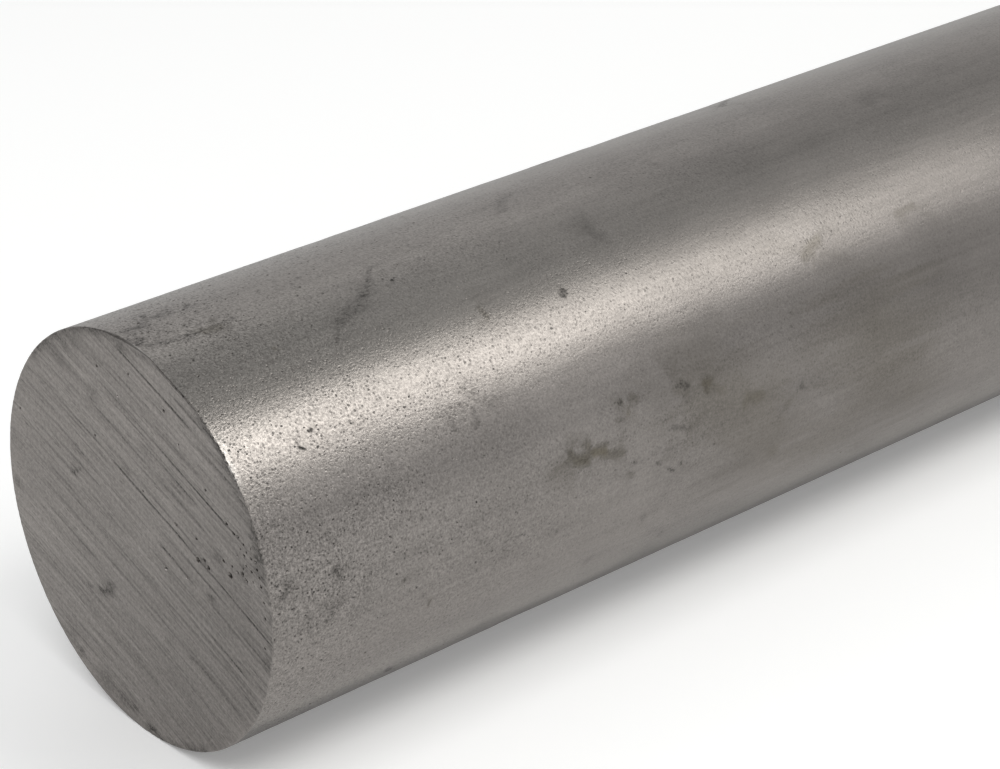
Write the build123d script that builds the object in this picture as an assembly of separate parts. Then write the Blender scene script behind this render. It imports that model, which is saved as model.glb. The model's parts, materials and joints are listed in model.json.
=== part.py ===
from build123d import *
import os

# Round steel bar: solid stock sawn square to length at both ends, lying on its side.
# +X runs along the bar and +Z is up. The origin is on the floor, below the middle of the bar.

# Stock, in millimetres
bar_diameter = 50.8
bar_length = 609.6

# The rims that the saw left sharp, dulled by handling
rim_break = 0.2

# Entry flat: the sliver that the blade struck off the rim of the -X end as it started to cut.
# It is a chord across the rim, deepest in the sawn face, and runs out into the round surface.
entry_flat_depth = 0.35
entry_flat_run = 1.3

# The saw fed straight down. The bar has rolled this far towards -Y since, in degrees.
rolled_since_cut = 20.5


def sawn_length():
    """A length of round stock about its own axis, with both of its rims broken."""
    stock = Cylinder(bar_diameter / 2, bar_length, rotation=(0, 90, 0))
    rims = stock.edges().filter_by(GeomType.CIRCLE)
    return chamfer(rims, rim_break)


def entry_flat_plane():
    """The plane of the entry flat, as it lay under the blade, with its normal out of the metal."""
    deepest = Vector(-bar_length / 2, 0, bar_diameter / 2 - entry_flat_depth)
    up_the_slope = Vector(entry_flat_run, 0, entry_flat_depth)
    across = Vector(0, 1, 0)
    return Plane(origin=deepest, x_dir=up_the_slope, z_dir=up_the_slope.cross(across))


def round_bar():
    """The finished bar, rolled to where it rests and set down on the floor."""
    under_the_saw = split(sawn_length(), bisect_by=entry_flat_plane(), keep=Keep.BOTTOM)
    return Pos(Z=bar_diameter / 2) * Rot(X=rolled_since_cut) * under_the_saw


os.makedirs("parts", exist_ok=True)
export_step(round_bar(), "parts/round_bar.step")
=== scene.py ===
import json
import math
from dataclasses import dataclass

import bpy
import numpy as np
from mathutils import Matrix, Vector
from mathutils.geometry import delaunay_2d_cdt


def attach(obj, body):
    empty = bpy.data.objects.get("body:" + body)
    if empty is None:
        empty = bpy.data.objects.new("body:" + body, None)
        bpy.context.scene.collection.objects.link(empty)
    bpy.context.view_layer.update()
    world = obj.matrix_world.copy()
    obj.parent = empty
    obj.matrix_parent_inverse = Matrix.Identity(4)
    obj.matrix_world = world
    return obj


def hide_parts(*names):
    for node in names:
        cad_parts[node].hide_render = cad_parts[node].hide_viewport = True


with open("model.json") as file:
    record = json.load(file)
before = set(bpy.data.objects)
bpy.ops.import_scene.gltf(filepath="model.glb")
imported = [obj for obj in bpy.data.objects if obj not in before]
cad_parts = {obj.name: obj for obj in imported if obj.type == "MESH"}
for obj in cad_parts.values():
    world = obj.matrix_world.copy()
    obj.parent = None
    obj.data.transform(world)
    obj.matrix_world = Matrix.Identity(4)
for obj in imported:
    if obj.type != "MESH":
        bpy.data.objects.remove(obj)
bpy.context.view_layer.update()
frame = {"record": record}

# A length of round steel bar, drawn along its side and sawn off at both ends, on a white floor.
# The saw went in at the top of the bar's -X end, the entry end, and fed straight down. The bar has
# rolled towards -Y since.
#
# The skin is worked out in millimetres, with x measured along the bar from the entry end. A place
# on the round surface is (x, arc), with arc the way round from the line that the bar lies on. A
# place on a sawn face is (s, g), with s along the saw marks and g across them, from the axis.

# -------- sizes

mounts = {mount["name"]: mount for mount in frame["record"]["mounts"]}
ENTRY_END = Vector(mounts["entry_end"]["pos_m"])
PLAIN_END = Vector(mounts["plain_end"]["pos_m"])
BAR_R = mounts["outside"]["dims"]["r_mm"]
BAR_LENGTH = (PLAIN_END - ENTRY_END).length * 1000
ROUND = 2 * math.pi * BAR_R

# The saw's cut at the entry end, as in the model: how far the bar has rolled since, in degrees,
# and the flat that the blade struck off the rim as it started
ROLLED = 20.5
FLAT_DEPTH = 0.35
FLAT_RUN = 1.3

# A saw mark bows upwards, because the blade wandered: the radius of that bow
MARK_BOW = 600

# The skin's edge rings lie this far in from each end, and each rim is rounded off in these steps
RING_IN = 0.25
RIM_STEPS = np.radians([90, 60, 30, 0])

# A face's triangles are this many times longer along the saw marks than across them
FACE_STRETCH = 20

# How many points go round the rim of each end
ENTRY_COUNT = 1440
PLAIN_COUNT = 720

# Rows of points round the bar near each end: how far in they lie, and how many points they have
ENTRY_ROWS = [(0.34, 1440), (0.5, 960), (0.7, 720), (0.95, 720)]
ENTRY_ROWS += [(1.3, 480), (1.8, 480), (2.6, 360), (3.8, 240)]
PLAIN_ROWS = [(0.5, 480), (0.9, 360), (1.8, 240), (3.6, 240)]

# The rows between them: how far apart they lie, how far from the others, and their points. Near
# the entry end, rows shift with the rim as far in as this
BODY_STEP = 8
BODY_GAP = 3
BODY_COUNT = 200
SHIFT_REACH = 2.5

# A pit's rings: how many points, the share of its radius, and the share of its depth
PIT_RINGS = ((5, 0.5, 0.75), (7, 1.0, 0.0))

# The lattice that noise is read from, which repeats after this many cells each way
NOISE_CELLS = (131, 997)

# The bake's map is one square: the round surface in two strips of half its length, one above the
# other, and the two faces in a column beside them
MAP_MARGIN = 0.003
STRIP_WIDE = 0.785
STRIP_HIGH = 0.492
STRIP_APART = 0.008
DISC_WIDE = 0.198
DISC_MIDDLE = (0.8955, 0.12)
DISC_APART = 0.25

# -------- marks

# Saw marks on the entry face that stand out, in millimetres: how far above the axis across the
# marks, from where to where along them, how wide, and then how dark, partly grime and partly painted
# shade
SAW_MARKS = [
    (23.5, 1.5, 6, 0.25, 0.8), (22, -9, 4, 0.24, 0.8), (21.8, 7, 13, 0.2, 0.5),
    (20.8, 6.5, 12.5, 0.45, 0.6), (20.3, 13.8, 16, 0.3, 0.8), (20.1, -2.6, -0.3, 0.25, 0.6),
    (18, -7.5, -4, 0.3, 0.3), (17.6, 0, 7.5, 0.3, 0.35), (17.4, 13, 18, 0.25, 0.4),
    (15.4, -11, -7, 0.25, 0.8), (15.4, -6.4, -2.7, 0.25, 0.7), (15.4, -1, 16.5, 0.25, 0.9),
    (14.7, -10, -3.3, 0.22, 0.5), (14.6, 4, 16, 0.2, 0.35), (13.7, 1.5, 8, 0.28, 0.8),
    (13.6, 10.5, 13.5, 0.25, 0.45), (13.7, 19, 21.4, 0.25, 0.7), (13, -20, -13, 0.4, 0.35),
    (12.8, 3.6, 5.8, 0.35, 0.45), (12.3, 10.5, 12, 0.2, 0.5), (11.6, -12, -1, 0.3, 0.5),
    (11.6, 4, 10, 0.3, 0.4), (7.5, -22, -15.5, 0.3, 0.45), (7.4, -14.8, -9, 0.28, 0.6),
    (7.2, -6, 24.6, 0.26, 0.9), (6.8, -20, -12, 0.25, 0.4), (6.4, -9.5, -7, 0.3, 0.4),
    (5.2, -24, -14, 0.35, 0.35), (5.4, 8.5, 16, 0.22, 0.7), (5.4, 19, 25, 0.2, 0.5),
    (4.1, 20, 25, 0.35, 0.6), (3.7, -17, -10, 0.3, 0.45), (3.4, -5, 0, 0.28, 0.4),
    (3.4, 3.8, 10, 0.35, 0.8), (3.4, 14, 25, 0.28, 0.45), (1.2, 6, 18, 0.3, 0.25),
    (-0.1, -16, -13, 0.35, 0.35), (-0.4, -9, -2.4, 0.28, 0.45), (-0.6, 7.5, 13.5, 0.35, 0.45),
    (-0.6, 14.5, 21.5, 0.3, 0.8), (-2.7, -16, -11.5, 0.35, 0.45), (-3.1, -8, 9, 0.3, 0.35),
    (-3, 22.5, 25, 0.3, 0.7), (-5.6, -17, -6.5, 0.35, 0.35), (-6.2, -5, 12, 0.38, 0.35),
    (-6.2, 14.5, 22, 0.4, 0.6), (-8.3, -15, -6, 0.35, 0.45), (-10.2, 4, 11.5, 0.3, 0.3),
    (-13.7, -11, -0.5, 0.35, 0.4), (-15.6, -1, 8, 0.28, 0.35), (-16.5, -17, -12, 0.4, 0.3),
    (-17.5, 12, 17, 0.35, 0.5), (-18.2, -3, 2, 0.3, 0.4), (-21.3, 1, 6, 0.35, 0.4),
    (-23, -1, 6, 0.5, 0.5),
]

# Pits on the entry face, in millimetres: how far along the marks, how far across, and the radius
FACE_PITS = [
    (10.2, 7, 0.36), (11.2, 7.9, 0.3), (12.1, 7.6, 0.34), (15.6, 9.8, 0.42),
    (14, 10.6, 0.28), (15.5, 11.2, 0.2), (16.5, 11.3, 0.27), (17.3, 11.7, 0.32),
    (18.1, 11.5, 0.33), (17.2, 12.5, 0.2), (17.5, 13.2, 0.22), (16.8, 14.2, 0.25),
    (16, 14.5, 0.18), (17, 14.9, 0.2), (17.9, 14.8, 0.24), (18.7, 15.1, 0.24),
    (19.2, 14.3, 0.22), (19.8, 13.6, 0.24), (20.4, 12.8, 0.27), (21.4, 11.3, 0.2),
    (22.2, 9.5, 0.24), (23.3, 5.9, 0.22), (14.5, 15.4, 0.28), (15.2, 15.6, 0.27),
    (13.1, 15.6, 0.3), (18.5, 13.3, 0.22), (15.9, 13.3, 0.18), (16.3, 15.4, 0.2),
    (19.1, 12.3, 0.2), (17.5, 15.9, 0.18), (9.2, 9.4, 0.22), (5.6, 8.3, 0.3),
    (8.8, 16.7, 0.22), (3.1, 18.5, 0.2), (5.7, 1.2, 0.34), (9.3, 3.1, 0.22),
    (-0.7, 7.7, 0.2), (-0.3, 20.6, 0.24), (-7.1, 20.3, 0.22), (-12.4, 17, 0.26),
    (-8, 16.1, 0.2), (-10.3, 7.9, 0.2), (-23.9, 0.5, 0.22),
]

# Smudges on the entry face, in millimetres: how far along the marks and across them, the size,
# and then how dark
FACE_SMUDGES = [
    # the dark blot low on the face, and what trails off it
    (-2.7, -10.9, 0.75, 0.85), (-2.4, -10, 0.6, 0.6), (-1.8, -9, 0.5, 0.3),
    (-3.4, -11.6, 0.4, 1), (-3.9, -11.8, 0.35, 1), (-5.9, -13.1, 0.5, 0.55),
    # the nick on the left
    (-13, 0.1, 0.3, 0.5), (-12.4, -0.1, 0.35, 0.9), (-12, 0.6, 0.35, 0.7),
    (-11.6, 1.3, 0.3, 0.6),
    # further blots
    (-21.7, -10.1, 0.5, 0.55), (-12.1, 13.2, 0.9, 0.3), (-12.1, 12.2, 0.4, 0.5),
    (-19.5, 13.1, 1.2, 0.3), (-1.8, 13, 0.6, 0.25), (-18.6, 15.4, 1.1, 0.4),
    (-17, 17, 1, 0.35), (-9.3, 22.6, 1.2, 0.5), (-3.8, 8, 0.5, 0.4),
    (13.6, 4.4, 0.5, 0.6), (13.2, 10.1, 0.55, 0.5), (12.7, 9.8, 0.4, 0.4),
    (17.4, 12.2, 1, 0.4), (19.2, 14.5, 1, 0.4), (11.2, 7.4, 0.9, 0.3),
    (13, -6.4, 0.4, 0.4), (9, -8, 0.9, 0.25),
    # dirt along the rim, on the right and at the bottom
    (17.2, 17.4, 0.4, 0.9), (18, 16.5, 0.4, 0.9), (18.7, 15.8, 0.4, 0.9),
    (20.1, 14, 0.35, 0.8), (24, 4, 0.6, 0.6), (23, 3.4, 0.4, 0.5),
    (6.2, -22.4, 0.5, 0.7), (9.4, -22.5, 0.45, 1), (10.2, -22.2, 0.3, 0.8),
    (4, -23, 1.2, 0.4), (0.5, -23.3, 1.5, 0.35), (-4.8, -23.5, 0.5, 0.7),
    (-7, -22.4, 1, 0.3),
]

# Marks on the round surface: how wide, how dark and how brown, and then the places that they run
# through, as millimetres from the entry end and degrees up from the -Y side
SIDE_MARKS = [
    # dark spots above the bright band and in it
    (0.5, 0.5, 0, (10.2, 95.2), (10.9, 97)),
    (0.4, 0.5, 0, (2.2, 95.5)),
    (0.5, 0.5, 0, (3.1, 93)),
    (0.45, 0.6, 0, (6.1, 96.5), (6.8, 96.7)),
    (0.4, 0.5, 0, (8, 95.6)),
    (0.5, 0.95, 0, (33, 76)),
    (0.6, 0.6, 0, (24.3, 90.5)),
    (0.5, 0.4, 0, (14.6, 95)),
    (0.6, 0.3, 0.3, (13.4, 68)),
    (0.42, 0.8, 0, (9.1, 40.8), (9.6, 40)),
    (0.4, 0.75, 0, (11.1, 43.7), (11.5, 44)),
    (1, 0.7, 0, (51.1, 53.2), (51.6, 54.4)),
    (0.7, 0.35, 0, (47.2, 52.2)),
    (0.5, 0.35, 0, (54.7, 39.2)),
    (0.5, 0.55, 0, (32.3, 30)),
    # spots below the bright band, near the end
    (0.5, 0.5, 0, (4.3, 6.5)),
    (0.7, 0.35, 0, (13, -0.3)),
    (0.7, 0.55, 0.1, (18.4, -2.1)),
    (0.7, 0.4, 0.2, (22.5, -12.6), (22.4, -14)),
    (0.7, 0.4, 0, (29.2, -9.1)),
    (0.7, 0.35, 0, (29.6, -0.4)),
    (0.6, 0.4, 0, (11.6, -4.4)),
    # brown and grey spots further along
    (0.7, 0.45, 0.3, (44, 13.4)),
    (0.7, 0.6, 0.2, (52.7, 20.9)),
    (0.5, 0.3, 0.3, (53.5, 17.5)),
    (0.9, 0.55, 0.1, (61.8, 18.8), (62.8, 18.3)),
    (0.5, 0.4, 0, (59.2, 11)),
    (0.7, 0.55, 0, (53.5, 3.3)),
    (0.5, 0.5, 0, (57.2, 0.4), (57.9, -0.6)),
    (0.5, 0.55, 0, (59.2, -3.2), (60.1, -4.4)),
    (0.6, 0.45, 0, (61.3, -3)),
    (0.9, 0.3, 0, (41.4, -8)),
    (1.2, 0.22, 0, (51.2, -17.6)),
    (1.6, 0.4, 0, (61.3, -29.5)),
    (0.8, 0.6, 0, (20, -38), (20.8, -41)),
    (1.5, 0.25, 0.3, (77.2, -12.8), (78.2, -13)),
    (0.8, 0.45, 0, (81.8, 4.6)),
    (1, 0.25, 0, (77.8, 85), (78.4, 84)),
    (1.3, 0.5, 0.1, (99.6, 107), (102.6, 112.5)),
    (1.4, 0.4, 0, (71, 114), (73, 117.5)),
]

# Smears on the round surface, placed in the same way, which the material breaks up into specks
SIDE_SMEARS = [
    # the smear that comes off the worn rim, and the specks above it
    (1.4, 0.5, 0, (0.3, 88.5), (0.9, 86.5)),
    (0.7, 0.45, 0, (1.2, 84.6), (3.6, 82.8), (5.4, 82.1), (8, 81.9), (10.5, 82.3), (12.6, 83.2)),
    (0.8, 0.45, 0, (4.2, 82.5), (5.6, 82)),
    (1.1, 0.45, 0.3, (8.3, 81.7), (10.2, 81.9)),
    (1.2, 0.4, 0, (1.8, 94), (3.6, 93.6), (5, 96.4), (8, 96.6)),
    (0.5, 0.5, 0, (5.2, 97), (5.4, 99.4)),
    # the crease
    (0.6, 0.38, 0, (31.1, 80.6), (32.3, 83.4)),
    (0.8, 0.44, 0, (28.4, 74.4), (29.8, 77.4), (31.2, 80.6)),
    (1.3, 0.42, 0, (23.2, 68.6), (24.8, 70.5), (26.4, 71.7), (28.6, 74.4)),
    (0.9, 0.34, 0, (21, 64.8), (22, 66.6), (23.4, 69)),
    # patches below the bright band, near the end
    (1.2, 0.45, 0, (9, 8.6), (9.4, 8)),
    (1, 0.48, 0, (2.6, 10)),
    (0.8, 0.5, 0, (1.6, 7.8)),
    (1.3, 0.4, 0, (7.2, 0.2), (7.9, -1.4)),
    (1.1, 0.28, 0, (5, -1.2)),
    # patches in and below the bright band, further along
    (0.8, 0.32, 0, (27.2, 36), (28.9, 34.8)),
    (0.9, 0.38, 0, (29.6, 36.2), (30.8, 35.4)),
    (1.6, 0.32, 0, (32.4, 38.6), (33.4, 35.4), (35.4, 33.6)),
    (0.8, 0.3, 0, (28.8, 34.4), (28.9, 30.6)),
    (0.8, 0.35, 0, (32.3, 34), (32.2, 29.6)),
    (0.7, 0.35, 0.2, (39.8, 58), (40, 55)),
    (1.2, 0.18, 0.26, (87, 38.8), (88.6, 40.6), (90.4, 42.2)),
    (1, 0.16, 0.18, (104.6, 40.6), (107.4, 41)),
    # the brown smudge and what trails off it
    (1, 0.6, 0.3, (43.9, 12.6), (44.7, 11)),
    (1.3, 0.6, 0.4, (44.8, 10.6), (46.2, 9.4)),
    (0.7, 0.5, 0.3, (46.7, 12.8)),
    (0.7, 0.4, 0.2, (48, 12), (49.4, 11.6)),
    (1, 0.15, 0.6, (47.6, 10.6), (49, 10)),
    (0.9, 0.4, 0.25, (48.6, 9.2), (50.4, 8.2), (51.8, 7.4)),
    (0.9, 0.35, 0.2, (54.4, 21), (54.9, 20.2)),
    (0.7, 0.3, 0.1, (51.6, 16.7), (52.2, 16.3)),
    (1.8, 0.3, 0.2, (61.8, 17.8), (62.8, 16)),
    (1.1, 0.5, 0.5, (66, 17), (66.6, 16.4)),
    (1.6, 0.25, 0.3, (66.8, 15.6), (68.4, 13)),
    (0.8, 0.3, 0.1, (53.3, -0.2), (52.6, 0.6)),
    (0.5, 0.35, 0, (60, 8.6), (62.8, 6.2)),
    (1.8, 0.28, 0.4, (72.4, 8), (74.4, 7.2)),
    (1.2, 0.25, 0, (56.3, -17)),
    (1, 0.3, 0, (48.4, -26)),
    (1.3, 0.25, 0.1, (79, 0), (78, -1.6)),
    # smears on the far stretch
    (1.2, 0.3, 0, (61, 70), (61, 66)),
    (1.4, 0.25, 0, (54.4, 88.4), (55.8, 92.6), (58, 95.6)),
    (2.4, 0.2, 0, (114, 81), (115.5, 82)),
    # broad brown clouds
    (9, 0.15, 0.2, (67, 13), (73, 4), (76, -8)),
    (9, 0.17, 0.22, (92, 14), (99, 10), (96, -4), (101, -13)),
    (6, 0.12, 0.2, (84, -18), (90, -20)),
]

# Broad bands along the bar, darker or, below 0, lighter: from where to where, how many degrees
# up and how far either way of that, and how much. Most are painted shade and painted highlight
# that follow the bar's reflections along its length, and a few narrow ones are streaks in the steel
SIDE_BANDS = [
    (-20, 700, 6, 18, 0.12), (-20, 6, 79, 4, -0.12), (-20, 700, -31, 7, -0.17),
    (8, 55, -35, 5, -0.2), (-20, 700, 108, 6.5, -0.26), (-20, 700, 37, 3.5, -0.1),
    (60, 700, 40, 60, 0.1), (12, 700, 26, 5, 0.06), (75, 700, 25, 8, 0.08),
    (80, 700, 76, 7, 0.12), (-20, 70, 83, 5, -0.09), (-20, 14, 46, 8, -0.12),
    (-20, 34, 51, 2.5, -0.1), (95, 700, 12, 6, 0.12), (-20, 38, 78, 5, -0.08),
    (45, 700, 69, 6, 0.06), (40, 700, 51, 3, 0.05), (15, 75, 46, 3, 0.04),
    (8, 24, 29.5, 1.4, -0.1), (6, 24, 25, 1.6, 0.1), (20, 80, 85.3, 0.8, -0.07),
    (44, 62, 35, 3, 0.08), (24, 52, -7, 1.2, 0.07),
]

# What is painted on the skin, for its materials to read, and the numbers of its two materials
PAINTS = ("grime", "smear", "tarnish", "rust", "stipple", "bare")
DRAWN, SAWN = 0, 1


# -------- small helpers

def smooth(low, high, value):
    """0 at low, 1 at high, and an even curve between."""
    t = np.clip((value - low) / (high - low), 0, 1)
    return t * t * (3 - 2 * t)


def noise(seed, u, v, cell_u, cell_v, wrap=NOISE_CELLS[1]):
    """Smooth random values from -1 to 1 in cells of a given size, repeated after wrap cells of v."""
    lattice = np.random.default_rng(seed).uniform(-1, 1, (NOISE_CELLS[0], wrap))
    column = np.floor(u / cell_u).astype(int)
    row = np.floor(v / cell_v).astype(int)
    across = smooth(0, 1, u / cell_u - column)
    up = smooth(0, 1, v / cell_v - row)

    def between_columns(row):
        left = lattice[column % NOISE_CELLS[0], row % wrap]
        right = lattice[(column + 1) % NOISE_CELLS[0], row % wrap]
        return left * (1 - across) + right * across

    return between_columns(row) * (1 - up) + between_columns(row + 1) * up


def round_noise(seed, x, arc, cell_x, cells_round):
    """Noise on the round surface, which meets itself at the seam."""
    return noise(seed, x, arc, cell_x, ROUND / cells_round, cells_round)


def columns(*values):
    """Arrays side by side, as the columns of one."""
    return np.stack(values, -1)


def arc_at(degrees):
    """The way round to a place that many degrees up from the -Y side."""
    return np.radians(np.asarray(degrees, float) + 90) * BAR_R


def degrees_at(arc):
    """How many degrees up from the -Y side a place is."""
    return np.degrees(np.asarray(arc) / BAR_R) - 90


def arc_over(y, z):
    """The way round to the place that lies outwards of a point on a face."""
    return (np.arctan2(z, -y) + math.pi / 2) % (2 * math.pi) * BAR_R


def around(reach, arc):
    """y and z of the places that far from the axis, about it."""
    angle = arc / BAR_R - math.pi / 2
    return -reach * np.cos(angle), reach * np.sin(angle)


def bell(value, middle, width):
    """1 at the middle, and falling away evenly to both sides."""
    return np.exp(-(((value - middle) / width) ** 2))


def between(value, start, finish, fade):
    """1 between start and finish, fading in and out just inside them."""
    return smooth(start, start + fade, value) * (1 - smooth(finish - fade, finish, value))


def most_of(stretches, value, fade):
    """The most that any of the stretches (start, finish, amount) gives."""
    amounts = [amount * between(value, start, finish, fade) for start, finish, amount in stretches]
    return np.max([0 * value, *amounts], 0)


def line_distance(points, path):
    """How far flat points are from a path of flat points."""
    path = np.asarray(path, float)
    if len(path) == 1:
        return np.hypot(*(points - path[0]).T)
    nearest = np.full(len(points), np.inf)
    for start, end in zip(path, path[1:]):
        run = end - start
        along = np.clip((points - start) @ run / (run @ run), 0, 1)
        nearest = np.minimum(nearest, np.hypot(*(points - start - along[:, None] * run).T))
    return nearest


# -------- the round surface

def waves(x, arc):
    """The slight waves that drawing left along the bar."""
    return 0.012 * round_noise(11, x, arc, 45, 26) + 0.006 * round_noise(12, x, arc, 17, 70)


def flat_limit(x, arc):
    """How far from the axis the blade's entry flat lets the metal reach."""
    off = np.cos(np.radians(degrees_at(arc) - (90 - ROLLED)))
    height = BAR_R - FLAT_DEPTH * (1 - x / FLAT_RUN)
    return np.where((off > 0.9) & (x < FLAT_RUN), height / np.maximum(off, 0.9), 2 * BAR_R)


def side_place(x, arc, lift=0):
    """The place of a point on the round surface, about the axis."""
    reach = np.minimum(BAR_R + waves(x, arc) + lift, flat_limit(x, arc))
    return columns(x, *around(reach, arc))


def side_normal(x, arc):
    """The round surface's normal, tilted by its waves."""
    step = 0.05
    lengthwise = (waves(x + step, arc) - waves(x - step, arc)) / (2 * step)
    roundwise = (waves(x, arc + step) - waves(x, arc - step)) / (2 * step)
    y, z = around(1, arc)
    outwards = columns(0 * x, y, z)
    onwards = columns(0 * x, z, -y)
    normal = outwards - lengthwise[:, None] * np.array([1.0, 0, 0]) - roundwise[:, None] * onwards
    return normal / np.linalg.norm(normal, axis=1)[:, None]


def side_paint(x, arc):
    """How thick each paint lies on the round surface."""
    points = columns(x, arc)
    ragged = 1 + 0.45 * round_noise(21, x, arc, 1.5, 150) + 0.3 * round_noise(22, x, arc, 0.6, 330)
    grime, smear, rust, tarnish = np.zeros((4, len(x)))
    far_off = smooth(34, 44, x)
    kinds = ((SIDE_MARKS, grime, 0.35, 0), (SIDE_SMEARS, smear, 0.38, far_off))
    for marks, paint, softness, blurred in kinds:
        for width, dark, brown, *path in marks:
            along, up = np.array(path).T
            away = line_distance(points, columns(along, arc_at(up))) * ragged
            share = 1 - smooth(0.1 * width, 1.0 * width, away)
            soft = (softness + 0.22 * blurred) * dark
            paint[:] = np.maximum(paint, dark * share * (1 - 0.5 * blurred))
            rust = np.maximum(rust, brown * share)
            tarnish = np.maximum(tarnish, soft * (1 - smooth(0, 1.3 * width, away)))
    up = degrees_at(arc)
    # the bands: painted shade and painted highlight along the bar's reflections, with a few streaks
    for start, finish, middle, spread, dark in SIDE_BANDS:
        reach = smooth(start - 12, start + 8, x) * (1 - smooth(finish - 10, finish + 10, x))
        tarnish = tarnish + dark * reach * bell(up, middle, spread)
    # painted shade along the underside, darkest where the bar meets the floor
    from_below = np.degrees(np.minimum(arc, ROUND - arc) / BAR_R)
    tarnish = tarnish + 0.35 * (1 - smooth(42, 54, from_below))
    uneven = 1 + 0.3 * round_noise(23, x, arc, 9, 26)
    cluster = 0.25 * bell(up, 12, 18) * np.exp(-x / 14)
    fainter_below = 1 - 0.28 * smooth(2, -22, up)
    stipple = (0.34 + 0.72 * np.exp(-x / 32) + cluster) * uneven * fainter_below
    # a painted highlight: a thin strip of bright metal colour just behind the rim, in the bright band
    bare = 0.25 * (1 - smooth(0.2, 0.9, x * ragged)) * bell(up, 44, 6)
    return dict(zip(PAINTS, (grime, smear, tarnish, rust, stipple, bare)))


# -------- the sawn faces

@dataclass
class End:
    """One sawn end: where it is, which way its marks run, and what its face and rim are like."""

    start: float
    outwards: int
    tilt: float
    seed: int
    count: int
    row_step: float
    marks: list = ()
    pits: list = ()
    smudges: list = ()

    # along the rim, in degrees up from the -Y side: knocks and worn places have a middle, a spread
    # and an amount, and the others a start, a finish and an amount, with torn metal's width first
    knocks: list = ()
    worn: list = ()
    teeth: list = ()
    torn: list = ()
    # a line of painted shade that follows the rim, as under its lip
    shade_line: list = ()

    # how bright a painted sheen makes the rim near the top
    rim_sheen: float = 0

    def __post_init__(self):
        tilt = math.radians(self.tilt)
        self.along = np.array([self.outwards * math.cos(tilt), -math.sin(tilt)])
        self.across = np.array([self.outwards * math.sin(tilt), math.cos(tilt)])
        self.marks = self.lesser_marks() + list(self.marks)

    def lesser_marks(self):
        """Faint saw marks, crowded towards the top of the face."""
        rng = np.random.default_rng(self.seed)
        marks = []
        for _ in range(170):
            height = BAR_R * (1 - 1.95 * rng.random() ** 1.1)
            middle = rng.uniform(-0.8, 0.95) * BAR_R
            length = rng.uniform(1.5, 10)
            dark = rng.uniform(0.15, 0.45)
            width = rng.uniform(0.14, 0.3)
            marks.append((height, middle - length / 2, middle + length / 2, width, dark))
        return marks

    def inwards(self, depth):
        """x at a depth below this end's face."""
        return self.start - self.outwards * depth

    def on_face(self, y, z):
        """(s, g) of a place on the face."""
        s = y * self.along[0] + z * self.along[1]
        c = y * self.across[0] + z * self.across[1]
        return s, c + s**2 / (2 * MARK_BOW)

    def face_place(self, s, g, depth):
        """The place of a point on the face, sunk to a depth."""
        c = g - s**2 / (2 * MARK_BOW)
        y = s * self.along[0] + c * self.across[0]
        z = s * self.along[1] + c * self.across[1]
        return columns(self.inwards(depth), y, z)

    def cut(self, s, g):
        """How deep the saw cut below the face, and how dark its marks are."""
        seed = self.seed
        rough = 0.010 * noise(seed + 1, s, g, 9, 0.13) + 0.012 * noise(seed + 2, s, g, 15, 0.37)
        rough += 0.008 * noise(seed + 3, s, g, 30, 1.4)
        right = smooth(-0.6 * BAR_R, 0.95 * BAR_R, s)
        depth = (rough + 0.024) * (0.5 + 0.7 * right)
        # deeper cuts are painted darker, partly as grime and partly as painted shade
        dark = 0.30 * smooth(0.026, 0.052, depth)
        wander = 0.10 * noise(seed + 9, s, g, 5, 5)
        uneven = 0.85 + 0.40 * noise(seed + 4, s, g, 1.7, 0.4)
        for height, begin, finish, width, shade in self.marks:
            fade = between(s, begin - 1.2, finish + 1.2, 1.8) * uneven
            groove = fade * np.clip(1.15 - np.abs(g + wander - height) / (0.75 * width), 0, 1)
            depth = depth + 0.045 * shade * groove
            dark = np.maximum(dark, shade * groove)
        return depth, dark

    def fringe(self, s, g):
        """How dark a face is close to its rim, where the teeth tore the metal."""
        y, z = self.face_place(s, g, 0 * s)[:, 1:].T
        up = degrees_at(arc_over(y, z))
        ragged = 0.4 * noise(self.seed + 12, s, g, 2, 0.3)
        shade = 0 * s
        for start, finish, width, dark in self.torn:
            close = smooth(BAR_R - width, BAR_R - 0.3, np.hypot(y, z) + width * ragged)
            shade = np.maximum(shade, dark * between(up, start, finish, 6) * close)
        return shade

    def rim_break(self, arc):
        """How far the rim is rounded off, which is more where it has been knocked."""
        up = degrees_at(arc)
        size = 0.10 + 0.03 * round_noise(self.seed + 5, 0 * arc, arc, 1, 400)
        for middle, spread, more in self.knocks:
            size = size + more * bell(up, middle, spread)
        return size

    def tooth(self, arc):
        """How far the ragged lip sticks out, where the saw's teeth left the metal."""
        up = degrees_at(arc)
        jagged = 0.75 * round_noise(self.seed + 208, 0 * arc, arc, 1, 420)
        jagged = jagged + 0.4 * round_noise(self.seed + 258, 0 * arc, arc, 1, 230)
        return np.clip(most_of(self.teeth, up, 5) * jagged, -0.30, 0.40)

    def rim_dirt_and_shade(self, arc):
        """How dark the rim is, where it is worn and dirty and where a line of painted shade follows
        it.
        """
        up = degrees_at(arc)
        worn = 0 * arc
        for middle, spread, dark in self.worn:
            worn = np.maximum(worn, dark * bell(up, middle, spread))
        broken = 1 + 0.7 * round_noise(self.seed + 13, 0 * arc, arc, 1, 260)
        return worn * broken, np.clip(most_of(self.shade_line, up, 2) * broken, 0, 1)


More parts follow.
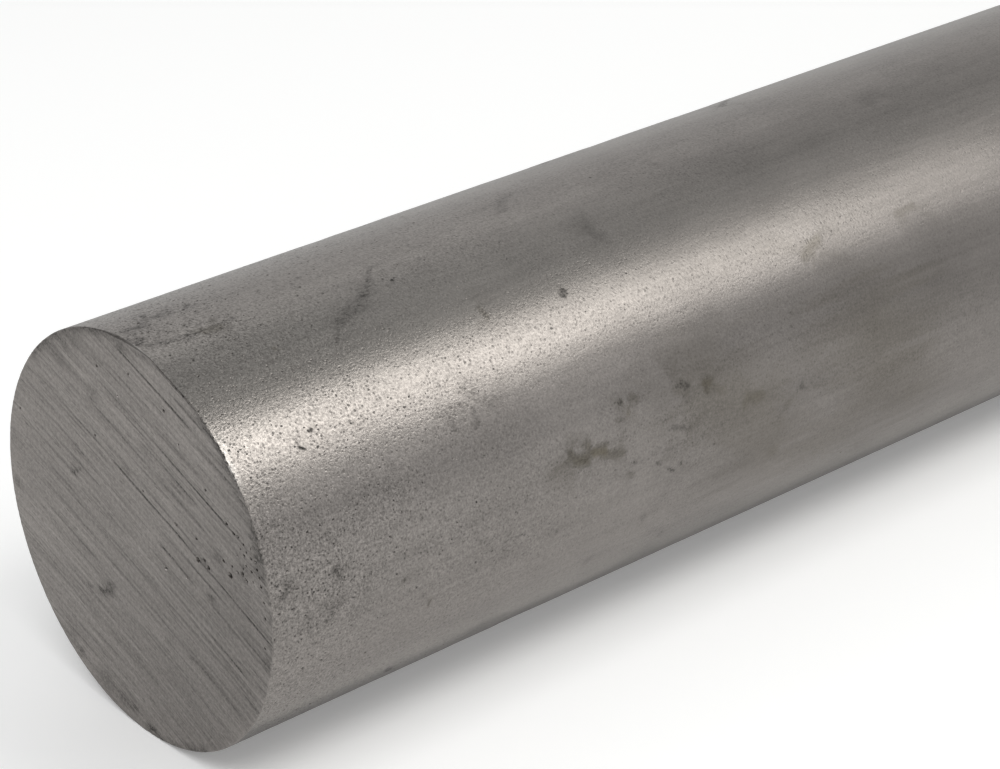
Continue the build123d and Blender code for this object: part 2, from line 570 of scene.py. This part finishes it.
def entry_end():
    """The end in the foreground, where the blade started at the top."""
    end = End(0, -1, ROLLED, 100, ENTRY_COUNT, 0.10, SAW_MARKS, FACE_PITS, FACE_SMUDGES)
    end.knocks = [(91, 7, 0.20), (-60, 30, 0.08), (130, 30, 0.05)]
    end.teeth = [(36, 56, 0.80), (-15, 62, 0.30)]
    end.torn = [(28, 62, 1.4, 0.55), (10, 30, 0.9, 0.8), (-20, 12, 0.8, 0.45)]
    end.torn += [(76, 150, 1.3, 0.45), (-120, -55, 0.8, 0.45)]
    end.worn = [(92, 3.5, 0.35), (98, 8, 0.25), (118, 12, 0.25)]
    # a painted sheen, bright on the rim near the top
    end.rim_sheen = 0.40
    # painted shade: the dark line along the rim
    end.shade_line = [(60, 77, 0.75), (34, 61, 0.4), (13, 31, 0.7), (-16, 14, 0.3)]
    end.shade_line += [(-110, -60, 0.4), (96, 140, 0.5)]
    return end


def plain_end():
    """The far end, sawn in the same way at another slant."""
    end = End(BAR_LENGTH, 1, -34, 200, PLAIN_COUNT, 0.15)
    end.knocks = [(40, 25, 0.08), (-120, 30, 0.12)]
    end.teeth = [(150, 190, 0.30)]
    end.torn = [(145, 195, 0.8, 0.4)]
    end.worn = [(-120, 15, 0.3)]
    # painted shade: the dark line along the rim
    end.shade_line = [(150, 190, 0.5)]
    return end


def rim_rings(end, shell):
    """The rings of points that round off an end's rim, from its face outwards."""
    arc = np.arange(end.count) / end.count * ROUND
    size = end.rim_break(arc)
    tooth = end.tooth(arc)
    worn, line = end.rim_dirt_and_shade(arc)
    up = degrees_at(arc)
    # painted glints where the lip dips in the bright band, and a painted sheen on the rim near the top
    glints = 0.45 * smooth(-0.02, -0.16, tooth) * bell(up, 44, 6) + end.rim_sheen * bell(up, 83.5, 4)
    # painted shadow: dark nicks where the ragged lip sticks out, in the bright band
    nick_shadows = 0.9 * smooth(0.04, 0.22, tooth) * bell(up, 46, 9)
    rings = []
    for turn in RIM_STEPS:
        flat_share = math.sin(turn)
        lip = math.sin(2 * turn)
        depth = size * (1 - flat_share)
        reach = BAR_R + waves(end.inwards(0 * arc), arc)
        if end.outwards < 0:
            reach = np.minimum(reach, flat_limit(depth, arc))
        reach = reach - size * (1 - math.cos(turn)) + tooth * (0.6 * flat_share + 0.4 * lip)
        y, z = around(reach, arc)
        cut, dark = end.cut(*end.on_face(y, z))
        depth = depth + cut * flat_share - 0.3 * np.abs(tooth) * flat_share
        bare = glints * (1 - flat_share)
        # the rim's darkness: saw marks and worn dirt, with painted shade along its line and at its
        # nicks, less where glints are painted
        dark_there = [dark * flat_share, line * max(flat_share, lip), worn, nick_shadows]
        grime = np.maximum.reduce(dark_there) * (1 - bare)
        places = columns(end.inwards(depth), y, z)
        rings.append(shell.add(places, smear=grime, tarnish=0.3 * grime, bare=bare))
    return arc, rings


def within_rim(end, points):
    """Which points of a face lie well inside its rim."""
    y, z = end.face_place(*points.T, 0 * points[:, 0])[:, 1:].T
    arc = arc_over(y, z)
    reach = BAR_R - end.rim_break(arc) - np.maximum(-0.6 * end.tooth(arc), 0)
    if end.outwards < 0:
        reach = np.minimum(reach, flat_limit(0 * arc, arc) - 0.12)
    return np.hypot(y, z) < reach - 0.2


def face_points(end):
    """Points over a sawn face in rows along its marks, far apart along them and close across."""
    rng = np.random.default_rng(end.seed + 10)
    step = 1.7
    points = []
    for number, g in enumerate(np.arange(-BAR_R, BAR_R, end.row_step)):
        s = np.arange(-BAR_R, BAR_R, step) + (number % 2) * step / 2
        points.append(columns(s + rng.uniform(-0.3, 0.3, len(s)), 0 * s + g))
    return np.concatenate(points)


def pit_points(rng, centre, radius, stretch=1.0, turn=0.0):
    """A pit's points about its centre: the bottom, a ring part way up, and its lip."""
    points, heights = [np.zeros((1, 2))], [np.ones(1)]
    for count, share, height in PIT_RINGS:
        angle = (np.arange(count) + 0.6 * rng.random()) / count * 2 * math.pi
        reach = radius * share * rng.uniform(0.88, 1.12, count)
        points.append(columns(reach * np.cos(angle) * stretch, reach * np.sin(angle) / stretch))
        heights.append(np.full(count, height))
    swing_round = np.array([[math.cos(turn), math.sin(turn)], [-math.sin(turn), math.cos(turn)]])
    return np.concatenate(points) @ swing_round + centre, np.concatenate(heights)


def sheet_pits(rng, centres, radii, stretch, turn, depth=None):
    """The points of a sheet's pits, how deep they lie, and their rings' edges. Pits are as deep as
    a share of their radius, which differs from pit to pit if it isn't given."""
    pits, depths, edges = [np.empty((0, 2))], [np.empty(0)], []
    first = 0
    for centre, radius in zip(centres, radii):
        points, heights = pit_points(rng, centre, radius, rng.uniform(*stretch), rng.uniform(*turn))
        start = first + 1
        for count, _, _ in PIT_RINGS:
            edges += [(start + k, start + (k + 1) % count) for k in range(count)]
            start += count
        first += len(points)
        pits.append(points)
        depths.append(heights * radius * (depth or rng.uniform(0.4, 0.8)))
    return np.concatenate(pits), np.concatenate(depths), np.reshape(edges, (-1, 2)).astype(int)


def clear_of(points, centres, radii):
    """Which points lie outside every circle."""
    clear = np.ones(len(points), bool)
    for centre, radius in zip(centres, radii):
        close = np.abs(points[:, 0] - centre[0]) < radius
        close[close] = np.hypot(*(points[close] - centre).T) < radius
        clear &= ~close
    return clear


# -------- the skin

class Shell:
    """One closed skin, put together from flat sheets that share the points at their edges."""

    def __init__(self):
        self.places = np.empty((0, 3))
        self.paint = {name: np.empty(0) for name in PAINTS}
        self.sheets = []

    def add(self, places, **paint):
        """Adds points with their paints, and gives their numbers."""
        first = len(self.places)
        self.places = np.concatenate([self.places, places])
        for name in PAINTS:
            values = paint.get(name, np.zeros(len(places)))
            self.paint[name] = np.append(self.paint[name], values)
        return np.arange(first, len(self.places))

    def cover(self, ids, triangles, unrolled, baked, wears, normals=None):
        """Adds triangles over a sheet's points. Without normals, they are worked out later."""
        if normals is None:
            normals = np.zeros((len(ids), 3))
        corners = [values[triangles] for values in (ids, unrolled, baked, normals)]
        self.sheets.append([*corners, np.full(len(triangles), wears)])

    def mesh(self, name):
        """The skin as a mesh, with a map for the bake, one unrolled in metres, and its paints."""
        sheets = [np.concatenate(parts) for parts in zip(*self.sheets)]
        triangles, unrolled, baked, normals, wears = sheets
        mesh = bpy.data.meshes.new(name)
        mesh.vertices.add(len(self.places))
        mesh.loops.add(triangles.size)
        mesh.polygons.add(len(triangles))
        mesh.vertices.foreach_set("co", (self.places / 1000 + np.array(ENTRY_END)).ravel())
        mesh.loops.foreach_set("vertex_index", triangles.ravel())
        mesh.polygons.foreach_set("loop_start", np.arange(0, triangles.size, 3))
        mesh.polygons.foreach_set("material_index", wears)
        mesh.update(calc_edges=True)
        mesh.validate()
        mesh.shade_smooth()
        mesh.set_sharp_from_angle(angle=math.radians(38))
        for layer, places in (("OFBake", baked), ("unrolled", unrolled / 1000)):
            mesh.uv_layers.new(name=layer).uv.foreach_set("vector", places.ravel())
        for paint, values in self.paint.items():
            mesh.attributes.new(paint, "FLOAT", "POINT").data.foreach_set("value", values)
        mesh.normals_split_custom_set(normals.reshape(-1, 3))
        return mesh


def delaunay(points, outline, lines=()):
    """Triangles over flat points inside an anticlockwise outline, with some lines kept as edges."""
    count = len(outline)
    edges = [(int(outline[k - 1]), int(outline[k])) for k in range(count)]
    edges += [(int(a), int(b)) for a, b in lines]
    found = delaunay_2d_cdt([Vector(p) for p in points], edges, [], 0, 1e-6, True)
    sources = np.array([source[0] if source else -1 for source in found[3]])
    triangles = sources[np.array(found[2])]
    if (triangles < 0).any():
        raise ValueError("two lines of a sheet cross")
    turn = np.full(len(points), -1)
    turn[outline] = np.arange(count)
    i, j, k = turn[triangles].T
    onwards = (i < j).astype(int) + (j < k) + (k < i) == 2
    return triangles[onwards | (np.minimum(np.minimum(i, j), k) < 0)]


def strip_map(x, arc, second):
    """Where the round surface lies on the bake's map: its second half is above the first."""
    along = (x - second * BAR_LENGTH / 2) / (BAR_LENGTH / 2)
    floor_level = MAP_MARGIN + second * (STRIP_HIGH + STRIP_APART)
    return columns(MAP_MARGIN + STRIP_WIDE * along, floor_level + STRIP_HIGH * arc / ROUND)


def disc_map(s, g, second):
    """Where a face lies on the bake's map."""
    scale = DISC_WIDE / (2 * BAR_R + 0.4)
    middle_x, middle_y = DISC_MIDDLE
    return columns(middle_x + scale * s, middle_y + second * DISC_APART + scale * g)


def cover_rim(shell, end, arc, rings):
    """Joins the rings that round off an end's rim, in their order from the entry end."""
    rows = list(zip(rings, end.inwards(np.linspace(0, RING_IN, len(rings)))))
    if end.outwards > 0:
        rows.reverse()
    here = np.arange(len(arc))
    above = here + len(arc) + 1
    triangles = np.concatenate([columns(here, above, above + 1), columns(here, above + 1, here + 1)])
    arcs = np.tile(np.append(arc, ROUND), 2)
    for (lower, low_x), (upper, high_x) in zip(rows, rows[1:]):
        ids = np.concatenate([lower, lower[:1], upper, upper[:1]])
        flat = columns(np.repeat([low_x, high_x], len(arc) + 1), arcs)
        shell.cover(ids, triangles, flat, strip_map(*flat.T, end.outwards > 0), DRAWN)


def smudge_points(end):
    """Close-set points for the smudges of a face, which are smaller than its rows."""
    rng = np.random.default_rng(end.seed + 20)
    groups = [np.empty((0, 2))]
    for s, g, size, _ in end.smudges:
        away = 1.7 * size * np.sqrt(rng.random(90))
        angle = 2 * math.pi * rng.random(90)
        groups.append(columns(s + away * np.cos(angle), g + away * np.sin(angle)))
    return np.concatenate(groups)


def cover_face(shell, end, ring):
    """The sawn face inside the rim's first ring."""
    rng = np.random.default_rng(end.seed + 50)
    edge = columns(*end.on_face(*shell.places[ring][:, 1:].T))
    centres, radii = np.split(np.reshape(end.pits, (-1, 3)), [2], 1)
    radii = radii[:, 0]
    body = np.concatenate([face_points(end), smudge_points(end)])
    body = body[within_rim(end, body)]
    body = body[clear_of(body, centres, 1.35 * radii)]
    pits, sunk, lines = sheet_pits(rng, centres, radii, (0.9, 1.1), (0, 3), 1.1)
    local = np.concatenate([body, pits])
    sunk = np.append(np.zeros(len(body)), sunk)
    depth, dark = end.cut(*local.T)
    for s, g, size, shade in end.smudges:
        away = np.hypot(*(local - (s, g)).T)
        ragged = 1 + 0.5 * noise(end.seed + 8, *local.T, 0.5, 0.4)
        dark = np.maximum(dark, shade * (1 - smooth(0.3 * size, 1.6 * size, away * ragged)))
    fringe = end.fringe(*local.T)
    smear = np.maximum(dark, fringe)
    s, g = local.T
    # besides the marks' soft darkness, the face is painted darker towards the right and lighter
    # towards the bottom
    tarnish = 0.22 * smear + 0.06 * smooth(-10, 24, s) - 0.09 * smooth(-4, -24, g)
    ids = shell.add(
        end.face_place(*local.T, depth + sunk),
        # the pits are painted dark towards their bottoms
        grime=np.clip(sunk / 0.06, 0, 1),
        smear=smear,
        tarnish=tarnish,
    )
    ids = np.concatenate([ring, ids])
    flat = np.concatenate([edge, local])
    outline = np.arange(len(ring))[::-end.outwards]
    lines = lines + len(edge) + len(body)
    triangles = delaunay(flat / (FACE_STRETCH, 1), outline, lines)
    shell.cover(ids, triangles, flat, disc_map(*flat.T, end.outwards > 0), SAWN)


def side_pits():
    """The larger pits of the round surface: places and radii, crowded towards the entry end."""
    rng = np.random.default_rng(31)
    wanted = 5200
    crowded = rng.random(wanted) < 0.90
    near_end = 1.0 + rng.exponential(24, wanted)
    x = np.where(crowded, near_end, rng.uniform(1, BAR_LENGTH - 2, wanted))
    arc = rng.uniform(1.5, ROUND - 1.5, wanted)
    radius = rng.uniform(0.09, 0.17, wanted) + 0.14 * rng.random(wanted) ** 8
    crowding = side_paint(x, arc)["stipple"]
    share = crowding * (0.6 - 0.35 * smooth(35, 60, x))
    keep = (x < BAR_LENGTH - 2) & (rng.random(wanted) < share)
    off_flat = np.abs(degrees_at(arc) - (90 - ROLLED)) > 14
    keep &= off_flat | (x > FLAT_RUN + 0.6)
    pits = np.empty((0, 3))
    for pit in columns(x, arc, radius)[keep]:
        apart = np.hypot(*(pits - pit)[:, :2].T)
        if (apart > 1.3 * (pits[:, 2] + pit[2])).all():
            pits = np.append(pits, [pit], 0)
    return pits[:, :2], pits[:, 2]


def mark_points():
    """Extra points where a mark on the round surface needs them."""
    rng = np.random.default_rng(32)
    groups = []
    for width, _, _, *path in SIDE_MARKS + SIDE_SMEARS:
        if width > 2.5:
            continue
        along, up = np.array(path).T
        line = columns(along, arc_at(up))
        low = line.min(0) - width
        high = line.max(0) + width
        step = 0.24 * width
        lattice = np.meshgrid(np.arange(low[0], high[0], step), np.arange(low[1], high[1], step))
        grid = columns(*lattice).reshape(-1, 2)
        grid += rng.uniform(-0.25, 0.25, grid.shape) * step
        groups.append(grid[line_distance(grid, line) < 0.95 * width])
    points = np.concatenate(groups)
    return points[points[:, 0] > 0.6]


def flat_edge():
    """Points along the line where the entry flat runs out into the round surface."""
    widest = math.degrees(math.acos(1 - FLAT_DEPTH / BAR_R))
    off = np.linspace(-widest, widest, 121)
    x = FLAT_RUN * (1 - BAR_R * (1 - np.cos(np.radians(off))) / FLAT_DEPTH)
    points = columns(x, arc_at(90 - ROLLED + off))
    return points[x > 0.4]


def side_rows():
    """Rows of points round the bar between its rims, and where each row meets the seam."""
    first = ENTRY_ROWS[-1][0] + BODY_GAP
    last = BAR_LENGTH - PLAIN_ROWS[-1][0] - BODY_GAP
    rows = list(ENTRY_ROWS)
    rows += [(x, BODY_COUNT) for x in np.linspace(first, last, round((last - first) / BODY_STEP))]
    rows += [(BAR_LENGTH - depth, count) for depth, count in PLAIN_ROWS[::-1]]
    points = []
    for number, (x, count) in enumerate(rows):
        # every second row is half a step on, and the others leave their first point to the seam
        odd = number % 2
        arc = (np.arange(count - 1 + odd) + 1 - 0.5 * odd) / count * ROUND
        points.append(columns(0 * arc + x, arc))
    return np.concatenate(points), np.array([[x, 0.0] for x, _ in rows])


def settle(end, points):
    """Moves the rows near an end to where the rounding of its rim ends."""
    x, arc = points.T
    fade = 1 - smooth(RING_IN, SHIFT_REACH, x)
    return columns(x + (end.rim_break(arc) - RING_IN) * fade, arc)


def cover_side(shell, ends, arcs, rings):
    """The round surface between the rims' last rings, unrolled from seam to seam."""
    rows, seam = side_rows()
    edge_line = flat_edge()
    pit_places, pit_radii = side_pits()
    rows = rows[clear_of(rows, pit_places, 1.5 * pit_radii)]
    rows = rows[(rows[:, 0] > 1.6) | (line_distance(rows, edge_line) > 0.09)]
    marks = mark_points()
    marks = marks[clear_of(marks, pit_places, 1.4 * pit_radii)]
    rng = np.random.default_rng(33)
    pits, pit_depths, pit_edges = sheet_pits(rng, pit_places, pit_radii, (1, 1.25), (-0.5, 0.5))

    # the rims' last rings are painted like the rest
    closed_rings = []
    for ring, arc, x in zip(rings, arcs, (RING_IN, BAR_LENGTH - RING_IN)):
        for name, values in side_paint(0 * arc + x, arc).items():
            shell.paint[name][ring] = np.maximum(shell.paint[name][ring], values)
        around_once = np.append(arc, ROUND)
        closed_rings.append(columns(0 * around_once + x, around_once))

    groups = [*closed_rings, rows, marks, edge_line, pits, seam, seam + (0, ROUND)]
    flat = np.concatenate(groups)
    starts = np.cumsum([len(group) for group in groups])[:-1]
    near, far, _, _, on_edge, in_pits, left, right = np.split(np.arange(len(flat)), starts)
    outline = np.concatenate([left, far, right[::-1], near[::-1]])
    lines = np.concatenate([columns(on_edge[:-1], on_edge[1:]), in_pits[0] + pit_edges])
    triangles = delaunay(flat, outline, lines)

    lowered = np.zeros(len(flat))
    lowered[in_pits] = pit_depths
    placed = settle(ends[0], flat)
    normals = side_normal(*placed.T)
    normals[lowered > 0] = 0

    # the points that no ring has yet
    new = slice(far[-1] + 1, right[0])
    x, arc = placed[new].T
    paint = side_paint(x, arc)
    # the pits are painted dark towards their bottoms, less so where the stipple is faint
    pit_shade = 0.75 * np.clip(1.4 * paint["stipple"], 0.25, 1)
    paint["grime"] = np.maximum(paint["grime"], np.clip(lowered[new] / 0.08, 0, 1) * pit_shade)
    ids = shell.add(side_place(x, arc, -lowered[new]), **paint)
    ids = np.concatenate([rings[0], rings[0][:1], rings[1], rings[1][:1], ids, ids[-len(seam):]])

    second = flat[triangles][:, :, 0].mean(1) > BAR_LENGTH / 2
    for half in (0, 1):
        shell.cover(ids, triangles[second == half], flat, strip_map(*flat.T, half), DRAWN, normals)


def bar_mesh():
    """The bar's whole skin."""
    shell = Shell()
    ends = entry_end(), plain_end()
    arcs, last_rings = [], []
    for end in ends:
        arc, rings = rim_rings(end, shell)
        cover_rim(shell, end, arc, rings)
        cover_face(shell, end, rings[0])
        arcs.append(arc)
        last_rings.append(rings[-1])
    cover_side(shell, ends, arcs, last_rings)
    return shell.mesh("steel_bar")


# -------- materials

def cleared(owner):
    """The node tree of a material or world, with nothing in it."""
    owner.use_nodes = True
    owner.node_tree.nodes.clear()
    return owner.node_tree


def node(tree, kind, inputs=None, **settings):
    """A shader node. An input that is given a socket is linked to it."""
    made = tree.nodes.new("ShaderNode" + kind)
    for name, value in settings.items():
        setattr(made, name, value)
    for key, value in (inputs or {}).items():
        if isinstance(value, bpy.types.NodeSocket):
            tree.links.new(value, made.inputs[key])
        else:
            made.inputs[key].default_value = value
    return made


def calculate(operation, *values):
    """Values put together in turn, by one operation."""
    tree = next(value.id_data for value in values if isinstance(value, bpy.types.NodeSocket))
    total = values[0]
    for value in values[1:]:
        total = node(tree, "Math", {0: total, 1: value}, operation=operation).outputs[0]
    return total


def sum_of(*values):
    return calculate("ADD", *values)


def product(*values):
    return calculate("MULTIPLY", *values)


def remap(value, low, high, to_low, to_high):
    inputs = {"Value": value, "From Min": low, "From Max": high, "To Min": to_low, "To Max": to_high}
    return node(value.id_data, "MapRange", inputs).outputs["Result"]


def texture(place, scale, detail=2.0, roughness=0.5, stretch=None):
    """Noise at a scale of cells to the metre, with its coordinates stretched first if asked."""
    tree = place.id_data
    if stretch:
        mapping = {"Vector": place, "Scale": stretch}
        place = node(tree, "Mapping", mapping, vector_type="POINT").outputs[0]
    inputs = {"Vector": place, "Scale": scale, "Detail": detail, "Roughness": roughness}
    return node(tree, "TexNoise", inputs).outputs["Fac"]


def swing(value, amount):
    """A noise's value as a swing of at most that amount either way of 0."""
    return remap(value, 0.3, 0.7, -amount, amount)


def painted(tree, name):
    return node(tree, "Attribute", attribute_name=name).outputs["Fac"]


# The steel, the dark of its grime and of painted shade, its rust, bright metal for rubbed places
# and painted glints, and a tint at grazing angles
STEEL = (0.238, 0.2215, 0.2085)
GRIME_AND_SHADE = (0.032, 0.031, 0.029, 1)
RUST = (0.122, 0.107, 0.075, 1)
BARE_AND_GLINT = (0.75, 0.73, 0.70, 1)
EDGE_TINT = (0.72, 0.72, 0.72, 1)


def steel(name):
    """A metal material with its nodes cleared down to one shader."""
    material = bpy.data.materials.new(name)
    tree = cleared(material)
    shader = node(tree, "BsdfPrincipled", {"Metallic": 1.0, "Specular Tint": EDGE_TINT})
    node(tree, "OutputMaterial", {"Surface": shader.outputs[0]})
    return material, tree, shader


def coloured(shade, grime):
    """Steel of a shade about 1, under its tarnish and painted light, its rust, its grime and painted
    shade, and its bright metal and painted glints.
    """
    tree = shade.id_data
    clean = calculate("SUBTRACT", 1.0, painted(tree, "tarnish"))
    scale = {0: STEEL, "Scale": product(shade, clean)}
    colour = node(tree, "VectorMath", scale, operation="SCALE").outputs[0]
    rust = painted(tree, "rust")
    for share, over in ((rust, RUST), (grime, GRIME_AND_SHADE), (painted(tree, "bare"), BARE_AND_GLINT)):
        colour = node(tree, "Mix", {0: share, 6: colour, 7: over}, data_type="RGBA").outputs[2]
    return colour


def finished(metal, shade, grime, rough, height, relief):
    """A steel with its colour, roughness and bumps, where relief is their height in metres."""
    material, tree, shader = metal
    links = {
        "Base Color": coloured(shade, grime),
        "Roughness": rough,
        "Normal": node(tree, "Bump", {"Distance": relief, "Height": height}).outputs[0],
    }
    for name, socket in links.items():
        tree.links.new(socket, shader.inputs[name])
    return material


def dirt_and_shade(place, low, high, least, most):
    """Solid grime, with ragged edges, together with smears and painted shade, which specks make
    fainter or darker.
    """
    tree = place.id_data
    edge = texture(place, 3000, 2, 0.6)
    dots = texture(place, 3400, 2, 0.55, (0.55, 1, 1))
    ragged = sum_of(painted(tree, "grime"), swing(edge, 0.25))
    solid = remap(ragged, 0.28, 1.0, 0.0, 1.0)
    specks = product(painted(tree, "smear"), remap(dots, low, high, least, most))
    return calculate("MAXIMUM", solid, specks)


def drawn_steel():
    """The round surface: stippled all over, with faint streaks along the bar, and stains."""
    metal = steel("drawn_steel")
    tree = metal[1]
    place = node(tree, "TexCoord").outputs["Object"]
    stipple = painted(tree, "stipple")
    grain = texture(place, 3300, 2, 0.6)
    fine = texture(place, 6500, 1, 0.5)
    streak = texture(place, 1300, 3, 0.6, (0.05, 1, 1))
    band = texture(place, 260, 2, 0.5, (0.06, 1, 1))
    cloud = texture(place, 110, 4, 0.62, (0.7, 1, 1))
    cells = node(tree, "TexVoronoi", {"Vector": place, "Scale": 2400})
    chance = node(tree, "SeparateColor", {"Color": cells.outputs["Color"]}).outputs["Red"]
    dimple = product(
        remap(cells.outputs["Distance"], 0.15, 0.45, 1.0, 0.0),
        remap(chance, 0.2, 1.0, 0.0, 1.0),
    )

    specks = sum_of(swing(grain, 0.34), swing(fine, 0.20), product(dimple, -0.50))
    shade = sum_of(
        product(stipple, specks),
        remap(streak, 0.3, 0.7, 0.97, 1.09),
        swing(band, 0.05),
        product(swing(cloud, 0.09), remap(stipple, 0.3, 0.8, 1.0, 0.45)),
    )
    grime = dirt_and_shade(place, 0.45, 0.72, 0.05, 1.7)
    rough = sum_of(
        remap(fine, 0.3, 0.7, 0.29, 0.34),
        swing(band, 0.02),
        product(stipple, remap(grain, 0.3, 0.7, 0.06, -0.03)),
        product(dimple, stipple, 0.20),
        product(grime, 0.22),
    )
    bumps = sum_of(product(grain, 0.8), product(fine, 0.45), product(dimple, -0.8))
    height = sum_of(product(bumps, stipple), product(streak, 0.3))
    return finished(metal, shade, grime, rough, height, 0.000034)


def sawn_steel():
    """A sawn face: lines and dashes along the saw marks, grain, and dark paint in the deeper marks,
    which is partly grime and partly painted shade.
    """
    metal = steel("sawn_steel")
    tree = metal[1]
    flat = node(tree, "UVMap", uv_map="unrolled").outputs[0]
    place = node(tree, "TexCoord").outputs["Object"]
    line = texture(flat, 7500, 2, 0.6, (0.04, 1, 1))
    stroke = texture(flat, 2300, 2, 0.6, (0.04, 1, 1))
    sweep = texture(flat, 480, 2, 0.6, (0.05, 1, 1))
    dash = texture(flat, 4300, 1, 0.5, (0.12, 1, 1))
    grain = texture(place, 2100, 2, 0.6)
    fine = texture(place, 5200, 1, 0.5)
    shade = sum_of(
        remap(line, 0.3, 0.7, 0.91, 1.14),
        swing(stroke, 0.17),
        swing(sweep, 0.10),
        swing(grain, 0.16),
        swing(fine, 0.10),
    )
    speck = remap(dash, 0.64, 0.76, 0.0, 0.45)
    grime = calculate("MAXIMUM", dirt_and_shade(place, 0.35, 0.65, 0.20, 1.10), speck)
    rough = sum_of(remap(line, 0.3, 0.7, 0.37, 0.43), product(grime, 0.2))
    height = sum_of(line, product(stroke, 2.0), product(grain, 2.0))
    return finished(metal, shade, grime, rough, height, 0.000010)


def in_scene(name, data):
    """A new object of the scene."""
    obj = bpy.data.objects.new(name, data)
    bpy.context.scene.collection.objects.link(obj)
    return obj


def bar():
    """The whole bar, which stands in for the plain solid."""
    piece = in_scene("steel_bar", bar_mesh())
    piece.data.materials.append(drawn_steel())
    piece.data.materials.append(sawn_steel())
    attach(piece, "root")
    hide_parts("round_bar")


# -------- the studio

FLOOR_SIZE = 30
FLOOR_WHITE = (0.95, 0.95, 0.95, 1)

# What the floor gives off to the camera and to reflections, so that it looks white
FLOOR_LIFT = 0.18

# How bright the walls are at each height, from 0 at the horizon to 1 overhead
WALLS = [(0, 1.08), (0.2, 1), (0.45, 0.95), (0.62, 0.92), (0.75, 0.73), (0.86, 0.54), (1, 0.45)]


def floor():
    """A white floor that keeps the bar's shadow."""
    half = FLOOR_SIZE / 2
    corners = [(-half, -half, 0), (half, -half, 0), (half, half, 0), (-half, half, 0)]
    mesh = bpy.data.meshes.new("floor")
    mesh.from_pydata(corners, [], [(0, 1, 2, 3)])
    obj = in_scene("floor", mesh)
    material = bpy.data.materials.new("white_floor")
    tree = cleared(material)
    paths = node(tree, "LightPath").outputs
    seen = sum_of(paths["Is Camera Ray"], paths["Is Glossy Ray"], paths["Is Transmission Ray"])
    lift = remap(seen, 0.0, 1.0, 0.0, FLOOR_LIFT)
    matt = node(tree, "BsdfDiffuse", {"Color": FLOOR_WHITE})
    glow = node(tree, "Emission", {"Strength": lift})
    both = node(tree, "AddShader", {0: matt.outputs[0], 1: glow.outputs[0]})
    node(tree, "OutputMaterial", {"Surface": both.outputs[0]})
    mesh.materials.append(material)


def studio_walls():
    """The world: pale walls, which are dimmer overhead, towards -X and a little towards -Y."""
    world = bpy.data.worlds.new("studio")
    bpy.context.scene.world = world
    tree = cleared(world)
    way = node(tree, "SeparateXYZ", {0: node(tree, "TexCoord").outputs["Generated"]}).outputs
    ramp = node(tree, "ValToRGB", {0: way["Z"]})
    elements = ramp.color_ramp.elements
    while len(elements) < len(WALLS):
        elements.new(0.5)
    for element, (height, level) in zip(elements, WALLS):
        element.position = height
        cool = smooth(0.60, 0.85, height)
        element.color = (level * (1 - 0.035 * cool), level, level * (1 - 0.01 * cool), 1)
    side = {"Value": way["X"], "From Min": -0.5, "From Max": 0.45, "To Min": 0.35, "To Max": 1.0}
    share = node(tree, "MapRange", side, interpolation_type="SMOOTHSTEP").outputs["Result"]
    near_side = remap(way["Y"], -0.7, 0.1, 0.90, 1.0)
    strength = product(share, near_side)
    light = node(tree, "Background", {"Color": ramp.outputs[0], "Strength": strength})
    node(tree, "OutputWorld", {"Surface": light.outputs[0]})


def softbox(name, towards, distance, along_bar, across_bar, radiance, colour):
    """A soft area light that faces the entry end, with one side as near to the bar's run as can be."""
    light = bpy.data.lights.new(name, "AREA")
    light.shape = "RECTANGLE"
    light.size = along_bar
    light.size_y = across_bar
    light.color = colour
    light.energy = radiance * math.pi * along_bar * across_bar
    obj = in_scene(name, light)
    back = Vector(towards).normalized()
    side = (Vector((1, 0, 0)) - back * back.x).normalized()
    turn = Matrix((side, back.cross(side), back)).transposed()
    obj.matrix_world = Matrix.Translation(ENTRY_END + back * distance) @ turn.to_4x4()


def camera():
    """The camera, above the entry end and to its left, placed in the bar's radii from that end."""
    data = bpy.data.cameras.new("camera")
    data.sensor_width = 36
    data.lens = 113.2
    data.clip_start = 0.01
    obj = in_scene("camera", data)
    radius = BAR_R / 1000
    place = ENTRY_END + Vector((-6.802, -10.202, 6.955)) * radius
    heading = math.radians(48.71)
    pitch = math.radians(26.91)
    level = math.cos(pitch)
    look = Vector((math.cos(heading) * level, math.sin(heading) * level, -math.sin(pitch)))
    obj.matrix_world = Matrix.Translation(place) @ look.to_track_quat("-Z", "Y").to_matrix().to_4x4()
    bpy.context.scene.camera = obj


bpy.context.scene.view_settings.view_transform = "Standard"
camera()
studio_walls()
softbox("key_softbox", (0.50, -0.473, 0.725), 0.7, 0.40, 0.24, 3.85, (1, 0.98, 0.94))
softbox("front_softbox", (-0.40, -0.30, 0.87), 1.0, 0.60, 0.60, 3.6, (1, 1, 1))
floor()
bar()
